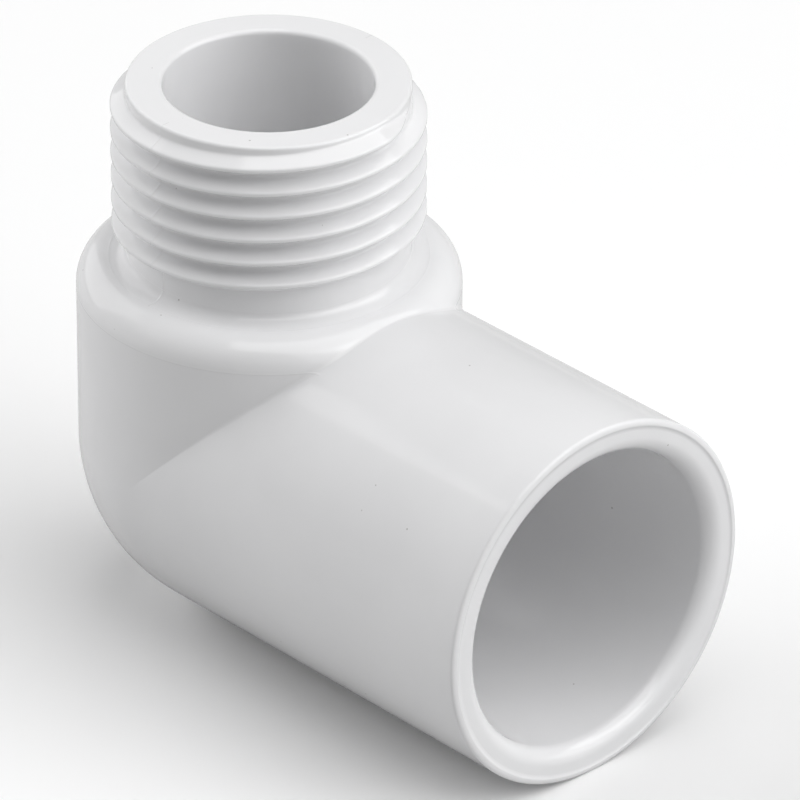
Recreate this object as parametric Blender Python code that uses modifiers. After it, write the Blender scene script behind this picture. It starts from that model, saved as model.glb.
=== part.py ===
# PVC elbow: 3/4 in male hose thread (3/4-11.5 NH) standing up, 3/4 in solvent-weld
# pipe socket lying along +X.  It is one injection moulding, so it is one piece.
#
# Frame: the thread axis points along +Z and the socket axis along +X.  The origin is
# under the middle of the part, on the surface it stands on.  Lengths are in metres.
import math

import bmesh
import bpy

# ------------------------------------------------------------------ sizes
# socket (for pipe 26.67 mm outside)
socket_mouth_radius = 0.013435      # bore just inside the lead-in
socket_taper = 0.00015              # how much tighter the bore is at the pipe stop
socket_wall = 0.003065              # wall round the socket at the mouth
socket_depth = 0.0254               # mouth face to pipe stop
stop_distance = 0.0150              # thread axis to pipe stop
lead_in_radius = 0.0016             # rounded entry of the socket
mouth_edge_radius = 0.0007          # rounding outside the mouth face

# water way
waterway_radius = 0.0105            # behind the pipe stop
thread_bore_radius = 0.0092         # through the threaded end
core_draft = 0.0002                 # the core pins taper by this much

# threaded end
thread_crest_radius = 0.0134        # outside of the thread
thread_depth = 0.00125
thread_pitch = 0.0254 / 11.5        # 11.5 turns per inch
crest_flat = 0.00028                # width of the flat on top of the ridge
flank_angle = math.radians(30.0)    # each flank of the 60 degree thread
male_length = 0.01662               # shoulder to end face
thread_start_drop = 0.00104         # end face down to the middle of the first ridge
neck_length = 0.00304               # middle of the last ridge down to the shoulder
thread_start_angle = math.radians(43.0)   # where the ridge begins, from +X towards +Y
run_in_angle = math.radians(36.0)   # the ridge rises to full height over this
end_edge = 0.00025                  # small chamfers on the end face

# shoulder between the threaded end and the round body
shoulder_rise = 0.0005              # shoulder above the top of the socket barrel
shoulder_edge_radius = 0.0026       # rounding at the outside of the shoulder
neck_fillet = 0.0013                # fillet at the foot of the neck

# smoothness
around = 48                         # divisions round every barrel and bore
quarter = around // 4
edge_steps = 4

# ------------------------------------------------------------------ derived
barrel_radius = socket_mouth_radius + socket_wall
neck_radius = thread_crest_radius - thread_depth
socket_reach = stop_distance + socket_depth
shoulder_height = barrel_radius + shoulder_rise
end_height = shoulder_height + male_length
shoulder_land = barrel_radius - neck_radius - neck_fillet
shoulder_edge = min(shoulder_edge_radius, 0.9 * shoulder_land)
thread_turns = (male_length - thread_start_drop - neck_length) / thread_pitch
# every solid is drawn round the point where the two axes cross, and stands here
crossing = ((barrel_radius - socket_reach) / 2, 0.0, barrel_radius)

for old in list(bpy.data.objects):
    bpy.data.objects.remove(old, do_unlink=True)

parts = bpy.data.collections.new("pvc_elbow_fitting")
tools = bpy.data.collections.new("pvc_elbow_fitting_cutters")
for group in (parts, tools):
    bpy.context.scene.collection.children.link(group)


def arc(centre_r, centre_z, radius, start, end, steps):
    """Points (r, z) on an arc; angles are from +r towards +z, in degrees."""
    points = []
    for j in range(steps + 1):
        a = math.radians(start + (end - start) * j / steps)
        points.append((centre_r + radius * math.cos(a), centre_z + radius * math.sin(a)))
    return points


def turned(name, group, profile, along_x=False):
    """Turns a profile of (r, z) about Z with a Screw modifier, or about X."""
    mesh = bpy.data.meshes.new(name)
    mesh.from_pydata([(r, 0.0, z) for r, z in profile],
                     [(i, i + 1) for i in range(len(profile) - 1)], [])
    thing = bpy.data.objects.new(name, mesh)
    group.objects.link(thing)
    thing.location = crossing
    if along_x:
        thing.rotation_euler = (0.0, math.pi / 2, 0.0)
    screw = thing.modifiers.new("turn", "SCREW")
    screw.axis = "Z"
    screw.steps = around
    screw.render_steps = around
    screw.use_merge_vertices = True
    screw.merge_threshold = 0.000001
    return thing


# ------------------------------------------------------------------ outside
# upright: end face, neck, shoulder, round body, ball heel
body = turned("elbow_body", parts,
              [(0.0, end_height), (neck_radius - end_edge, end_height),
               (neck_radius, end_height - end_edge)]
              + arc(neck_radius + neck_fillet, shoulder_height + neck_fillet,
                    neck_fillet, 180.0, 270.0, edge_steps)
              + arc(barrel_radius - shoulder_edge, shoulder_height - shoulder_edge,
                    shoulder_edge, 90.0, 0.0, edge_steps)
              + arc(0.0, 0.0, barrel_radius, 0.0, -90.0, quarter)[:-1]
              + [(0.0, -barrel_radius)])

socket_barrel = turned("socket_barrel", tools,
                       [(0.0, socket_reach)]
                       + arc(barrel_radius - mouth_edge_radius,
                             socket_reach - mouth_edge_radius,
                             mouth_edge_radius, 90.0, 0.0, edge_steps)
                       + [(barrel_radius, 0.0), (0.0, 0.0)], along_x=True)

# ------------------------------------------------------------------ thread ridge
# one right-hand ridge wound on the neck, low at both ends
sunk = 0.0003                       # the ridge is rooted this far into the neck
root = neck_radius - sunk
step = 2 * math.pi / around
first = math.floor(thread_start_angle / step)
stations = int(thread_turns * around)
ridge = bmesh.new()
sections = []
for k in range(stations + 1):
    angle = (first - k) * step
    gone = k * step
    height = end_height - thread_start_drop - thread_pitch * k / around
    grown = min(1.0, gone / run_in_angle, (stations - k) * step / run_in_angle)
    crest = neck_radius - sunk / 2 + (thread_depth + sunk / 2) * grown
    half_top = crest_flat / 2
    half_base = half_top + (crest - root) * math.tan(flank_angle)
    section = []
    for r, z in ((root, half_base), (crest, half_top),
                 (crest, -half_top), (root, -half_base)):
        section.append(ridge.verts.new((r * math.cos(angle), r * math.sin(angle),
                                        height + z)))
    sections.append(section)
for here, there in zip(sections, sections[1:]):
    for j in range(4):
        i = (j + 1) % 4
        ridge.faces.new((here[j], here[i], there[i], there[j]))
ridge.faces.new(sections[0])
ridge.faces.new(sections[-1])
bmesh.ops.recalc_face_normals(ridge, faces=ridge.faces)
ridge_mesh = bpy.data.meshes.new("thread_ridge")
ridge.to_mesh(ridge_mesh)
ridge.free()
thread_ridge = bpy.data.objects.new("thread_ridge", ridge_mesh)
thread_ridge.location = crossing
tools.objects.link(thread_ridge)

# ------------------------------------------------------------------ inside
past = 0.002                        # the cutters stand out of both ends by this much
thread_bore = turned("thread_bore", tools,
                     [(0.0, end_height + past),
                      (thread_bore_radius + end_edge, end_height + past),
                      (thread_bore_radius + end_edge, end_height),
                      (thread_bore_radius, end_height - end_edge),
                      (thread_bore_radius - core_draft, 0.0),
                      (0.0, 0.0)])

lead_in = socket_mouth_radius + lead_in_radius
socket_bore = turned("socket_bore", tools,
                     [(0.0, socket_reach + past), (lead_in, socket_reach + past)]
                     + arc(lead_in, socket_reach - lead_in_radius,
                           lead_in_radius, 90.0, 180.0, edge_steps)
                     + [(socket_mouth_radius - socket_taper, stop_distance),
                        (waterway_radius, stop_distance)]
                     + arc(0.0, 0.0, waterway_radius - core_draft, 0.0, -90.0,
                           quarter)[:-1]
                     + [(0.0, core_draft - waterway_radius)], along_x=True)

for cutter, operation in ((socket_barrel, "UNION"), (thread_ridge, "UNION"),
                          (thread_bore, "DIFFERENCE"), (socket_bore, "DIFFERENCE")):
    cutter.hide_render = True
    cutter.display_type = "WIRE"
    boolean = body.modifiers.new(cutter.name, "BOOLEAN")
    boolean.operation = operation
    boolean.solver = "EXACT"
    boolean.object = cutter

weld = body.modifiers.new("weld", "WELD")
weld.merge_threshold = 0.000002

# ------------------------------------------------------------------ material
upvc = bpy.data.materials.new("white_upvc")
upvc.use_nodes = True
shader = upvc.node_tree.nodes["Principled BSDF"]
shader.inputs["Base Color"].default_value = (0.86, 0.865, 0.87, 1.0)
shader.inputs["Roughness"].default_value = 0.22
shader.inputs["Metallic"].default_value = 0.0
shader.inputs["IOR"].default_value = 1.53
body.data.materials.append(upvc)
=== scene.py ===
import math

import bmesh
import bpy
from mathutils import Matrix, Vector


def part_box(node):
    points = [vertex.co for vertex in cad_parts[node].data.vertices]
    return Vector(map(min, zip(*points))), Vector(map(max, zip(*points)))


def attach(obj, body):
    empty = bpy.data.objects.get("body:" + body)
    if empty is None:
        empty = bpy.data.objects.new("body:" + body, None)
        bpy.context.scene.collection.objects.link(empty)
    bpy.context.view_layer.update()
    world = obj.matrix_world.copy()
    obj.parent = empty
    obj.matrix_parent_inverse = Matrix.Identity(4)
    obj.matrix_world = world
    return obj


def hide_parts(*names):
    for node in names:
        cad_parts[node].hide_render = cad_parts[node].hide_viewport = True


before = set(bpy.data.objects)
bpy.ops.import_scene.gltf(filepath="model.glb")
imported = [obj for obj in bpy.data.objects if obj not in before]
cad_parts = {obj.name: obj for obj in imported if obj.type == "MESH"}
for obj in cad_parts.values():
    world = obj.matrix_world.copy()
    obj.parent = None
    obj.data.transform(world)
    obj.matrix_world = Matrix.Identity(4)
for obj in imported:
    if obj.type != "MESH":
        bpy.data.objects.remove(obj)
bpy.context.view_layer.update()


# ---------------------------------------------------------------- outside of the elbow
# One injection moulding in white rigid PVC: threaded end on top, a round body with a
# ball-shaped heel below it, and the pipe socket going off to the side.  The two barrels
# are the same size and meet on a mitre, softened by the mould maker's small fillet.
columns = 240
barrel_radius = 0.0165
neck_radius = 0.01215
end_bore_radius = 0.0090
end_bore_draft = 0.0002
end_bore_rounding = 0.00042
end_rim_rounding = 0.00028
neck_flare_out = 0.0015
neck_flare_up = 0.00092
shoulder_rise = 0.0005
shoulder_edge = 0.0026
crease_fillet = 0.00050
mouth_edge_out = 0.0006
mouth_edge_along = 0.0003
mouth_face_set_back = 0.00004
mouth_face_step = 0.00003
lead_in = 0.0014
socket_radius = 0.013435
socket_taper = 0.00015
stop_distance = 0.0150
stop_fillet = 0.00035
water_way_radius = 0.0105
core_join = 0.0120
neck_rows = 176
bend_rows = 32

elbow_low, elbow_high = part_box("elbow_body")
thread_axis_x = elbow_low.x + barrel_radius
socket_axis_z = elbow_low.z + barrel_radius
crossing = Vector((thread_axis_x, 0.0, socket_axis_z))
end_height = elbow_high.z - socket_axis_z
socket_reach = elbow_high.x - thread_axis_x
shoulder_height = barrel_radius + shoulder_rise


def quarter_turn(centre_r, centre_z, radius, start, end, steps):
    """Points (r, z) round a small edge; angles in degrees from outwards to upwards."""
    spots = []
    for j in range(steps + 1):
        a = math.radians(start + (end - start) * j / steps)
        spots.append((centre_r + radius * math.cos(a), centre_z + radius * math.sin(a)))
    return spots


def between(start, end, steps, ease=False):
    """Spots on a straight stretch, closer together near both ends if eased."""
    spots = []
    for j in range(1, steps):
        t = j / steps
        if ease:
            t = 0.5 - 0.5 * math.cos(math.pi * t)
            t = 0.5 + 0.5 * math.copysign(abs(2 * t - 1) ** 0.6, 2 * t - 1)
        spots.append(tuple(a + (b - a) * t for a, b in zip(start, end)))
    return spots


def end_bore_at(height):
    """Radius of the end bore, a little tighter further down."""
    return end_bore_radius - end_bore_draft * (1 - height / end_height)


def upright_line(bend, foot):
    """(r, z) from inside the end bore, over the rim, down the neck to the body."""
    bore_top = end_height - end_bore_rounding
    line = [(end_bore_at(core_join), core_join)]
    line += between(line[0], (end_bore_at(bore_top), bore_top), 9, ease=True)
    line += quarter_turn(end_bore_radius + end_bore_rounding, bore_top,
                         end_bore_rounding, 180, 90, 6)
    rim = neck_radius - end_rim_rounding
    line += between(line[-1], (rim, end_height), 6, ease=True)
    line += quarter_turn(rim, end_height - end_rim_rounding, end_rim_rounding, 90, 0, 6)
    neck_start = len(line) - 1
    neck_foot = shoulder_height + neck_flare_up
    line += between(line[-1], (neck_radius, neck_foot), neck_rows)
    neck_stop = len(line)
    line += [(neck_radius + r * neck_flare_out, shoulder_height + z * neck_flare_up)
             for r, z in quarter_turn(1.0, 1.0, 1.0, 180, 270, 12)]
    # a bead a hundredth of a millimetre high, where the flare ends on the flat
    for out, up in ((0.00003, 0.000007), (0.00006, 0.000013), (0.0001, 0.000007),
                    (0.00014, 0.0)):
        line.append((neck_radius + neck_flare_out + out, shoulder_height + up))
    ring, top = barrel_radius - shoulder_edge, shoulder_height - shoulder_edge
    line += quarter_turn(ring, top, shoulder_edge, 90, 90 - math.degrees(bend), 14)
    line += between(line[-1], foot, 9, ease=True)
    return line, neck_start, neck_stop


def skin_column(turn):
    """One line of the skin: down the upright, round heel or crease, out to the socket.

    turn is the angle round the socket, 0 on top, where the two barrels meet."""
    ring, top = barrel_radius - shoulder_edge, shoulder_height - shoulder_edge
    side, rise = math.sin(turn), math.cos(turn)
    bends = []
    if rise > 0.0:
        # a ball rolled along the crease touches both barrels; it leaves the fillet
        far, hug = barrel_radius + crease_fillet, shoulder_edge + crease_fillet
        over = max(0.0, far * rise - top)
        spread = math.sqrt(hug * hug - over * over)
        out = math.sqrt((ring + spread) ** 2 - (far * side) ** 2)
        polar, bend = math.atan2(far * side, out), math.atan2(spread, over)
        foot_r = ring + shoulder_edge * math.sin(bend)
        foot_z = top + shoulder_edge * math.cos(bend) if over > 0.0 else far * rise
        ball = Vector((out, far * side, far * rise))
        first = -Vector((math.sin(bend) * math.cos(polar),
                         math.sin(bend) * math.sin(polar), math.cos(bend)))
        last = -Vector((0.0, side, rise))
        sweep = first.angle(last)
        for j in range(1, bend_rows + 1):
            t = j / bend_rows
            if sweep > 1e-4:
                way = (first * math.sin((1 - t) * sweep)
                       + last * math.sin(t * sweep)) / math.sin(sweep)
            else:
                way = last
            bends.append(ball + way * crease_fillet)
    else:
        polar, bend = turn, math.pi / 2
        foot_r, foot_z, out = barrel_radius, 0.0, 0.0
        for j in range(1, bend_rows + 1):
            a = math.pi / 2 * j / bend_rows
            arm = Vector((rise * math.cos(a), side, rise * math.sin(a)))
            bends.append(Vector((arm.x * barrel_radius, side * barrel_radius,
                                 arm.z * barrel_radius)))
    line, neck_start, neck_stop = upright_line(bend, (foot_r, foot_z))
    line.append((foot_r, foot_z))
    spots = [Vector((r * math.cos(polar), r * math.sin(polar), z)) for r, z in line]
    spots += bends
    # along the socket barrel, over the mouth and back inside to the pipe stop
    run = between((out, barrel_radius), (socket_reach - mouth_edge_along, barrel_radius), 13,
                  ease=True)
    run += [(socket_reach + (x - 1) * mouth_edge_along,
             barrel_radius + (r - 1) * mouth_edge_out)
            for r, x in quarter_turn(0.0, 0.0, 1.0, 0, 90, 8)]
    face = socket_reach - mouth_face_set_back
    run += [(face, barrel_radius - mouth_edge_out - mouth_face_step)]
    run += between(run[-1], (face, socket_radius + lead_in), 3)
    run += [(x, r) for r, x in quarter_turn(socket_radius + lead_in, face - lead_in,
                                            lead_in, 90, 180, 14)]
    stop_wall = socket_radius - socket_taper
    run += between(run[-1], (stop_distance + stop_fillet, stop_wall), 9, ease=True)
    run += [(x, r) for r, x in quarter_turn(stop_wall - stop_fillet,
                                            stop_distance + stop_fillet,
                                            stop_fillet, 0, -90, 5)]
    run += between(run[-1], (stop_distance, water_way_radius), 4)
    run += [(stop_distance, water_way_radius)]
    spots += [Vector((x, r * side, r * rise)) for x, r in run]
    return spots, polar, neck_start, neck_stop


skin = bmesh.new()
on_neck = skin.verts.layers.float.new("on_neck")
strips, polars = [], []
for k in range(columns):
    spots, polar, neck_start, neck_stop = skin_column(2 * math.pi * k / columns)
    strip = [skin.verts.new(spot + crossing) for spot in spots]
    for vert in strip[neck_start:neck_stop + 1]:
        vert[on_neck] = 1.0
    strips.append(strip)
    polars.append(polar)
for k in range(columns):
    here, there = strips[k], strips[(k + 1) % columns]
    for j in range(len(here) - 1):
        skin.faces.new((here[j], here[j + 1], there[j + 1], there[j]))


# ---------------------------------------------------------------- water way inside
# Behind the pipe stop the two core pins of the mould met: a round-nosed pin from the
# socket and a plain one from the threaded end.  They leave one bent passage, with a
# crisp edge where the pins touched.
def core_pin(name, rings):
    """Closed solid from rings of points, each ring with one point a column."""
    pin = bmesh.new()
    laid = [[pin.verts.new(spot) for spot in ring] for ring in rings]
    for low, high in zip(laid, laid[1:]):
        for k in range(len(low)):
            n = (k + 1) % len(low)
            pin.faces.new((low[k], low[n], high[n], high[k]))
    pin.faces.new(laid[0])
    pin.faces.new(laid[-1])
    bmesh.ops.recalc_face_normals(pin, faces=pin.faces)
    mesh = bpy.data.meshes.new(name)
    pin.to_mesh(mesh)
    pin.free()
    thing = bpy.data.objects.new(name, mesh)
    bpy.context.scene.collection.objects.link(thing)
    return thing


pin_draft = 0.0002
pin_nose = water_way_radius - pin_draft
socket_rings = []
for x, r in ([(stop_distance, water_way_radius)]
             + [(stop_distance * share, pin_nose + draft)
                for share, draft in ((0.6, 0.00012), (0.3, 0.00006))]
             + [(-pin_nose * math.sin(math.radians(a)), pin_nose * math.cos(math.radians(a)))
                for a in (*range(0, 90, 6), 88)]):
    socket_rings.append([
        crossing + Vector((x, r * math.sin(2 * math.pi * k / columns),
                           r * math.cos(2 * math.pi * k / columns)))
        for k in range(columns)])
end_rings = []
for z in (core_join, 0.009, 0.006, 0.003, 0.0):
    end_rings.append([
        crossing + Vector((end_bore_at(z) * math.cos(a), end_bore_at(z) * math.sin(a), z))
        for a in polars])
socket_pin = core_pin("socket_pin", socket_rings)
end_pin = core_pin("end_pin", end_rings)
meet = socket_pin.modifiers.new("pins_meet", "BOOLEAN")
meet.operation = "UNION"
meet.solver = "EXACT"
meet.object = end_pin
way_mesh = bpy.data.meshes.new_from_object(
    socket_pin.evaluated_get(bpy.context.evaluated_depsgraph_get()))
way = bmesh.new()
way.from_mesh(way_mesh)
touching = 1e-6
caps = [f for f in way.faces
        if all(abs(v.co.x - crossing.x - stop_distance) < touching for v in f.verts)
        or all(abs(v.co.z - crossing.z - core_join) < touching for v in f.verts)]
bmesh.ops.delete(way, geom=caps, context="FACES")
bmesh.ops.reverse_faces(way, faces=way.faces)
crisp_angle = math.radians(20)
for edge in way.edges:
    if len(edge.link_faces) == 2 and edge.calc_face_angle(0.0) > crisp_angle:
        edge.smooth = False
way.to_mesh(way_mesh)
way.free()
for pin in (socket_pin, end_pin):
    bpy.data.objects.remove(pin)

skin.from_mesh(way_mesh)
bmesh.ops.remove_doubles(skin, verts=skin.verts, dist=2e-6)
bmesh.ops.dissolve_degenerate(skin, edges=skin.edges, dist=1e-7)
for face in skin.faces:
    face.smooth = True
open_edges = sum(1 for edge in skin.edges if len(edge.link_faces) != 2)
print("elbow skin:", len(skin.verts), "points,", open_edges, "open edges,",
      "volume cm3", round(skin.calc_volume(signed=True) * 1e6, 2))
plain_mesh = bpy.data.meshes.new("elbow_plain")
skin.to_mesh(plain_mesh)
skin.free()
elbow_plain = bpy.data.objects.new("elbow_plain", plain_mesh)
bpy.context.scene.collection.objects.link(elbow_plain)


# ---------------------------------------------------------------- the plastic
# Rigid white PVC straight from a polished mould: satin gloss, a hint of cool grey, faint
# flow clouds, hairline handling marks, a few specks, and the mould's own parting line.
upvc = bpy.data.materials.new("white_upvc")
upvc.use_nodes = True
tree = upvc.node_tree
shader = tree.nodes["Principled BSDF"]
shader.inputs["IOR"].default_value = 1.53
shader.inputs["Metallic"].default_value = 0.0


def add_node(kind, **settings):
    """A node of the plastic, with its settings and plain input values."""
    made = tree.nodes.new(kind)
    for name, value in settings.items():
        if name.startswith("in_"):
            made.inputs[name.removeprefix("in_")].default_value = value
        else:
            setattr(made, name, value)
    return made


def sum_of(operation, first, second=None, third=None):
    """A Math node; each of its inputs is a number or another node's output."""
    made = tree.nodes.new("ShaderNodeMath")
    made.operation = operation
    for socket, value in zip(made.inputs, (first, second, third)):
        if value is None:
            continue
        if isinstance(value, (int, float)):
            socket.default_value = value
        else:
            tree.links.new(value, socket)
    return made.outputs[0]


def noise(size_mm, detail, rough=0.5):
    """Noise whose lumps are about size_mm across, between 0 and 1."""
    made = add_node("ShaderNodeTexNoise", in_Scale=1000.0 / size_mm, in_Detail=detail,
                    in_Roughness=rough)
    tree.links.new(place.outputs["Object"], made.inputs["Vector"])
    return made.outputs[0]


def remap(value, low, high, to_low, to_high, smooth=True):
    """The value moved from the range low to high into the range to_low to to_high."""
    made = tree.nodes.new("ShaderNodeMapRange")
    made.interpolation_type = "SMOOTHSTEP" if smooth else "LINEAR"
    tree.links.new(value, made.inputs["Value"])
    for name, number in (("From Min", low), ("From Max", high),
                         ("To Min", to_low), ("To Max", to_high)):
        made.inputs[name].default_value = number
    return made.outputs[0]


place = add_node("ShaderNodeTexCoord")
spot = add_node("ShaderNodeSeparateXYZ")
tree.links.new(place.outputs["Object"], spot.inputs[0])

# hairline marks from handling, in three directions, only here and there
marks = None
for turn, span in (((0.3, 0.2, 0.5), 0.030), ((1.2, 0.7, 2.1), 0.045),
                   ((0.9, 2.0, 1.1), 0.022)):
    lay = add_node("ShaderNodeMapping", in_Rotation=turn, in_Scale=(1.0, span, 1.0))
    tree.links.new(place.outputs["Object"], lay.inputs["Vector"])
    needle = add_node("ShaderNodeTexVoronoi", feature="F1", in_Scale=1150.0)
    tree.links.new(lay.outputs["Vector"], needle.inputs["Vector"])
    which = add_node("ShaderNodeSeparateColor")
    tree.links.new(needle.outputs["Color"], which.inputs[0])
    one = sum_of("MULTIPLY", remap(needle.outputs["Distance"], 0.008, 0.042, 1.0, 0.0),
                 remap(which.outputs[0], 0.55, 0.75, 0.0, 1.0))
    marks = one if marks is None else sum_of("MAXIMUM", marks, one)

# rare dark specks, a tenth of a millimetre or so
cell = add_node("ShaderNodeTexVoronoi", feature="F1", in_Scale=600.0)
tree.links.new(place.outputs["Object"], cell.inputs["Vector"])
pick = add_node("ShaderNodeSeparateColor")
tree.links.new(cell.outputs["Color"], pick.inputs[0])
rare = remap(pick.outputs[0], 0.83, 0.84, 0.0, 1.0)
size = remap(pick.outputs[1], 0.0, 1.0, 0.026, 0.060, smooth=False)
near = sum_of("LESS_THAN", cell.outputs["Distance"], size)
specks = sum_of("MULTIPLY", near, rare)

# the line left by the mould's two halves, up both sides of the threaded end
off_plane = sum_of("ABSOLUTE", sum_of("SUBTRACT", spot.outputs["X"], thread_axis_x))
above = sum_of("GREATER_THAN", spot.outputs["Z"], socket_axis_z + shoulder_height)
from_axis = sum_of("SQRT", sum_of("ADD", sum_of("POWER", off_plane, 2.0),
                                  sum_of("POWER", spot.outputs["Y"], 2.0)))
inside_the_neck = 0.0112
outside = sum_of("GREATER_THAN", from_axis, inside_the_neck)
parting = sum_of("MULTIPLY", remap(off_plane, 0.00002, 0.00010, 1.0, 0.0),
                 sum_of("MULTIPLY", above, outside))

# colour; a Mix node keeps its two colours and its mixed colour in these places
colour_a, colour_b, mixed_colour = 6, 7, 2
clouds = noise(14.0, 3.0, 0.55)
tint = add_node("ShaderNodeMix", data_type="RGBA")
tree.links.new(remap(clouds, 0.3, 0.7, 0.0, 1.0), tint.inputs["Factor"])
tint.inputs[colour_a].default_value = (0.805, 0.805, 0.814, 1.0)
tint.inputs[colour_b].default_value = (0.833, 0.833, 0.841, 1.0)
dirt = add_node("ShaderNodeMix", data_type="RGBA")
tree.links.new(sum_of("MULTIPLY", specks, 0.55), dirt.inputs["Factor"])
tree.links.new(tint.outputs[mixed_colour], dirt.inputs[colour_a])
dirt.inputs[colour_b].default_value = (0.30, 0.29, 0.27, 1.0)
tree.links.new(dirt.outputs[mixed_colour], shader.inputs["Base Color"])

# sheen of the surface: polished, a little duller in patches and along the marks
dull = remap(noise(3.2, 3.0, 0.6), 0.3, 0.7, 0.05, 0.09)
dull = sum_of("ADD", dull, sum_of("MULTIPLY", noise(0.5, 1.0), 0.02))
dull = sum_of("ADD", dull, sum_of("MULTIPLY", marks, 0.10))
tree.links.new(dull, shader.inputs["Roughness"])

# relief, in metres: slow waves of the cooling skin, mould polish, marks, parting line,
# and the faint rings under the shoulder's rounding and above the neck's flare
relief = sum_of("MULTIPLY", noise(9.0, 1.0), 14e-6)
for part_of_relief in (sum_of("MULTIPLY", noise(1.1, 2.0), 1.6e-6),
                       sum_of("MULTIPLY", noise(0.22, 1.0), 0.5e-6),
                       sum_of("MULTIPLY", marks, -2.5e-6),
                       sum_of("MULTIPLY", parting, 22e-6)):
    relief = sum_of("ADD", relief, part_of_relief)
wall_play = 0.0005
for level, wall_radius, depth in (
        (socket_axis_z + shoulder_height - shoulder_edge, 0.0166, 18e-6),
        (socket_axis_z + shoulder_height + neck_flare_up, 0.0121, 9e-6)):
    off_level = sum_of("ABSOLUTE", sum_of("SUBTRACT", spot.outputs["Z"], level))
    on_wall = sum_of("COMPARE", from_axis, wall_radius, wall_play)
    ring_line = sum_of("MULTIPLY", remap(off_level, 0.00001, 0.00009, 1.0, 0.0), on_wall)
    relief = sum_of("ADD", relief, sum_of("MULTIPLY", ring_line, depth))
bump = add_node("ShaderNodeBump", in_Strength=1.0, in_Distance=1.0)
tree.links.new(relief, bump.inputs["Height"])
tree.links.new(bump.outputs["Normal"], shader.inputs["Normal"])


# ---------------------------------------------------------------- hose thread
# A single right-hand ridge wound almost six times round the neck, moulded with it: it
# rises out of the neck under the end face, keeps its height, and fades out at the back.
# The ridge lifts the skin of the neck along a helix; crest and root are a little rounded.
thread = bpy.data.node_groups.new("hose_thread", "GeometryNodeTree")
face_in = thread.interface
face_in.new_socket("Geometry", in_out="INPUT", socket_type="NodeSocketGeometry")
face_in.new_socket("Geometry", in_out="OUTPUT", socket_type="NodeSocketGeometry")
thread_sizes = {
    "Ridge height": 0.00127,
    "Pitch": 0.0254 / 11.5,
    "Half crest flat": 0.00015,
    "Flank slope": math.tan(math.radians(30.0)),
    "Start angle": math.radians(42.0),
    "Start height": end_height + socket_axis_z - 0.00104,
    "Turns": 5.68,
    "Run in turns": 0.11,
    "Crest rounding": 0.00012,
    "Root rounding": 0.00022,
    "Thread axis x": thread_axis_x,
}
for name in thread_sizes:
    face_in.new_socket(name, in_out="INPUT", socket_type="NodeSocketFloat")
face_in.new_socket("Plastic", in_out="INPUT", socket_type="NodeSocketMaterial")
given = thread.nodes.new("NodeGroupInput")
result = thread.nodes.new("NodeGroupOutput")


def thread_sum(operation, *values):
    """A Math node of the thread; each input is a size's name, a number or an output."""
    made = thread.nodes.new("ShaderNodeMath")
    made.operation = operation
    for socket, value in zip(made.inputs, values):
        if isinstance(value, (int, float)):
            socket.default_value = value
        else:
            thread.links.new(given.outputs[value] if isinstance(value, str) else value,
                             socket)
    return made.outputs[0]


where = thread.nodes.new("GeometryNodeInputPosition")
parts_of = thread.nodes.new("ShaderNodeSeparateXYZ")
thread.links.new(where.outputs[0], parts_of.inputs[0])
from_x = thread_sum("SUBTRACT", parts_of.outputs["X"], "Thread axis x")
polar = thread_sum("ARCTAN2", parts_of.outputs["Y"], from_x)
behind = thread_sum("DIVIDE", thread_sum("SUBTRACT", "Start angle", polar), 2 * math.pi)
down = thread_sum("DIVIDE", thread_sum("SUBTRACT", "Start height", parts_of.outputs["Z"]),
                  "Pitch")
lap = thread_sum("ROUND", thread_sum("SUBTRACT", down, behind))
travelled = thread_sum("ADD", behind, lap)
aside = thread_sum("ABSOLUTE", thread_sum("MULTIPLY",
                                          thread_sum("SUBTRACT", down, travelled), "Pitch"))
from_end = thread_sum("MINIMUM", travelled, thread_sum("SUBTRACT", "Turns", travelled))
grown = thread.nodes.new("ShaderNodeMapRange")
grown.interpolation_type = "SMOOTHSTEP"
thread.links.new(thread_sum("DIVIDE", from_end, "Run in turns"), grown.inputs["Value"])
sunk_below_neck = 0.00030
grown.inputs["To Min"].default_value = -sunk_below_neck
thread.links.new(given.outputs["Ridge height"], grown.inputs["To Max"])
crest = grown.outputs[0]
flank = thread_sum("ADD", crest, thread_sum(
    "DIVIDE", thread_sum("SUBTRACT", "Half crest flat", aside), "Flank slope"))
top = thread_sum("SMOOTH_MIN", crest, flank, "Crest rounding")
lift = thread_sum("SMOOTH_MAX", top, 0.0, "Root rounding")
outward = thread.nodes.new("ShaderNodeCombineXYZ")
thread.links.new(thread_sum("COSINE", polar), outward.inputs["X"])
thread.links.new(thread_sum("SINE", polar), outward.inputs["Y"])
push = thread.nodes.new("ShaderNodeVectorMath")
push.operation = "SCALE"
thread.links.new(outward.outputs[0], push.inputs[0])
thread.links.new(lift, push.inputs["Scale"])
neck_only = thread.nodes.new("GeometryNodeInputNamedAttribute")
neck_only.data_type = "FLOAT"
neck_only.inputs["Name"].default_value = "on_neck"
chosen = thread.nodes.new("FunctionNodeCompare")
chosen.data_type = "FLOAT"
chosen.operation = "GREATER_THAN"
chosen.inputs["B"].default_value = 0.5
thread.links.new(neck_only.outputs["Attribute"], chosen.inputs["A"])
moved = thread.nodes.new("GeometryNodeSetPosition")
thread.links.new(given.outputs["Geometry"], moved.inputs["Geometry"])
thread.links.new(chosen.outputs[0], moved.inputs["Selection"])
thread.links.new(push.outputs[0], moved.inputs["Offset"])
realize = thread.nodes.new("GeometryNodeRealizeInstances")
paint = thread.nodes.new("GeometryNodeSetMaterial")
thread.links.new(moved.outputs[0], realize.inputs[0])
thread.links.new(realize.outputs[0], paint.inputs["Geometry"])
thread.links.new(given.outputs["Plastic"], paint.inputs["Material"])
thread.links.new(paint.outputs[0], result.inputs["Geometry"])

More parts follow.
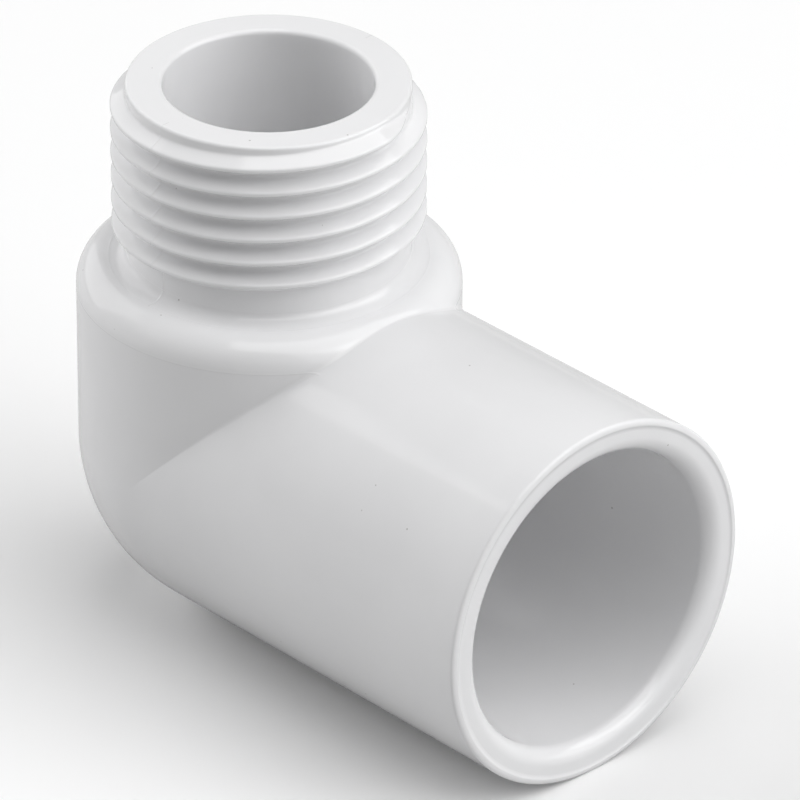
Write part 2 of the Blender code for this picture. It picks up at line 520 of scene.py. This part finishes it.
wound = elbow_plain.modifiers.new("hose_thread", "NODES")
wound.node_group = thread
for item in face_in.items_tree:
    if item.in_out == "INPUT" and item.name in thread_sizes:
        wound[item.identifier] = thread_sizes[item.name]
    elif item.in_out == "INPUT" and item.name == "Plastic":
        wound[item.identifier] = upvc
elbow_mesh = bpy.data.meshes.new_from_object(
    elbow_plain.evaluated_get(bpy.context.evaluated_depsgraph_get()))
elbow_mesh.name = "moulded_elbow"
elbow = bpy.data.objects.new("moulded_elbow", elbow_mesh)
bpy.context.scene.collection.objects.link(elbow)
bpy.data.objects.remove(elbow_plain)
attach(elbow, "root")
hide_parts("elbow_body")


# ---------------------------------------------------------------- floor and light
# A plain pale table top in a pale room, under one big soft box.  Four smaller ones stand
# round it, and the front left one is kept out of reflections, so the plastic's round
# shapes show.  The table and the walls look paler than the light that they give back.
table_half = 0.8
floor_mesh = bpy.data.meshes.new("table_top")
floor_mesh.from_pydata([(-table_half, -table_half, 0), (table_half, -table_half, 0),
                        (table_half, table_half, 0), (-table_half, table_half, 0)],
                       [], [(0, 1, 2, 3)])
floor = bpy.data.objects.new("table_top", floor_mesh)
bpy.context.scene.collection.objects.link(floor)
floor_paint = bpy.data.materials.new("pale_table")
floor_paint.use_nodes = True
floor_shader = floor_paint.node_tree.nodes["Principled BSDF"]
floor_rays = floor_paint.node_tree.nodes.new("ShaderNodeLightPath")
floor_tone = floor_paint.node_tree.nodes.new("ShaderNodeMix")
floor_tone.data_type = "RGBA"
floor_tone.inputs[colour_a].default_value = (0.93, 0.93, 0.93, 1.0)
floor_tone.inputs[colour_b].default_value = (0.60, 0.60, 0.60, 1.0)
away = floor_paint.node_tree.nodes.new("ShaderNodeMath")
away.operation = "SUBTRACT"
away.inputs[0].default_value = 1.0
floor_paint.node_tree.links.new(floor_rays.outputs["Is Camera Ray"], away.inputs[1])
floor_paint.node_tree.links.new(away.outputs[0], floor_tone.inputs["Factor"])
floor_paint.node_tree.links.new(floor_tone.outputs[mixed_colour],
                                floor_shader.inputs["Base Color"])
floor_shader.inputs["Roughness"].default_value = 0.9
floor_shader.inputs["Specular IOR Level"].default_value = 0.1
floor_mesh.materials.append(floor_paint)

room = bpy.data.worlds.new("studio")
room.use_nodes = True
wall = room.node_tree.nodes["Background"]
wall.inputs["Color"].default_value = (1.0, 1.0, 1.0, 1.0)
# the walls look pale, are mirrored half as bright, and hardly light the plastic; a Mix
# node keeps its two numbers in these places
number_a, number_b = 2, 3
room_rays = room.node_tree.nodes.new("ShaderNodeLightPath")
mirrored = room.node_tree.nodes.new("ShaderNodeMix")
mirrored.inputs[number_a].default_value = 0.02
mirrored.inputs[number_b].default_value = 0.45
room.node_tree.links.new(room_rays.outputs["Is Glossy Ray"], mirrored.inputs["Factor"])
wall_light = room.node_tree.nodes.new("ShaderNodeMix")
wall_light.inputs[number_b].default_value = 0.88
room.node_tree.links.new(room_rays.outputs["Is Camera Ray"], wall_light.inputs["Factor"])
room.node_tree.links.new(mirrored.outputs[0], wall_light.inputs[number_a])
room.node_tree.links.new(wall_light.outputs[0], wall.inputs["Strength"])
bpy.context.scene.world = room


aimed_at = Vector((0.0, 0.0, 0.02))


def soft_box(name, place, width, power):
    """A square soft light at place, pointed at the elbow."""
    lamp = bpy.data.lights.new(name, "AREA")
    lamp.shape = "SQUARE"
    lamp.size = width
    lamp.energy = power
    box = bpy.data.objects.new(name, lamp)
    box.location = place
    box.visible_camera = False
    aim = aimed_at - Vector(place)
    box.rotation_mode = "QUATERNION"
    box.rotation_quaternion = aim.to_track_quat("-Z", "Y")
    bpy.context.scene.collection.objects.link(box)
    return box


soft_box("top_box", (0.34, 0.22, 0.97), 1.4, 10.6)
soft_box("right_box", (0.79, 0.58, 0.56), 1.0, 4.4)
soft_box("left_back_box", (-0.94, -0.03, 0.50), 0.9, 2.0)
soft_box("socket_side_box", (0.97, 0.03, 0.50), 0.9, 2.2)
left_front_box = soft_box("left_front_box", (-0.84, -0.52, 0.46), 0.9, 7.2)
left_front_box.visible_glossy = False


# ---------------------------------------------------------------- camera
# A long lens from the socket's front left, about thirty degrees above the table, turned a
# hair to one side, with the elbow filling most of the square frame.
azimuth, elevation, roll = math.radians(46.814), math.radians(29.933), math.radians(0.22)
distance, moved_right, moved_up = 0.775617, 0.011198, 0.002156
back = Vector((math.sin(azimuth) * math.cos(elevation),
               -math.cos(azimuth) * math.cos(elevation), math.sin(elevation)))
level = Vector((math.cos(azimuth), math.sin(azimuth), 0.0))
upward = back.cross(level)
right = level * math.cos(roll) + upward * math.sin(roll)
up = upward * math.cos(roll) - level * math.sin(roll)
camera_data = bpy.data.cameras.new("camera")
camera_data.lens = 405.0
camera_data.sensor_width = 36.0
camera_data.clip_start, camera_data.clip_end = 0.05, 20.0
camera = bpy.data.objects.new("camera", camera_data)
turned = Matrix((right, up, back)).transposed().to_4x4()
turned.translation = crossing + right * moved_right + up * moved_up + back * distance
camera.matrix_world = turned
bpy.context.scene.collection.objects.link(camera)
bpy.context.scene.camera = camera
bpy.context.scene.view_settings.view_transform = "Standard"
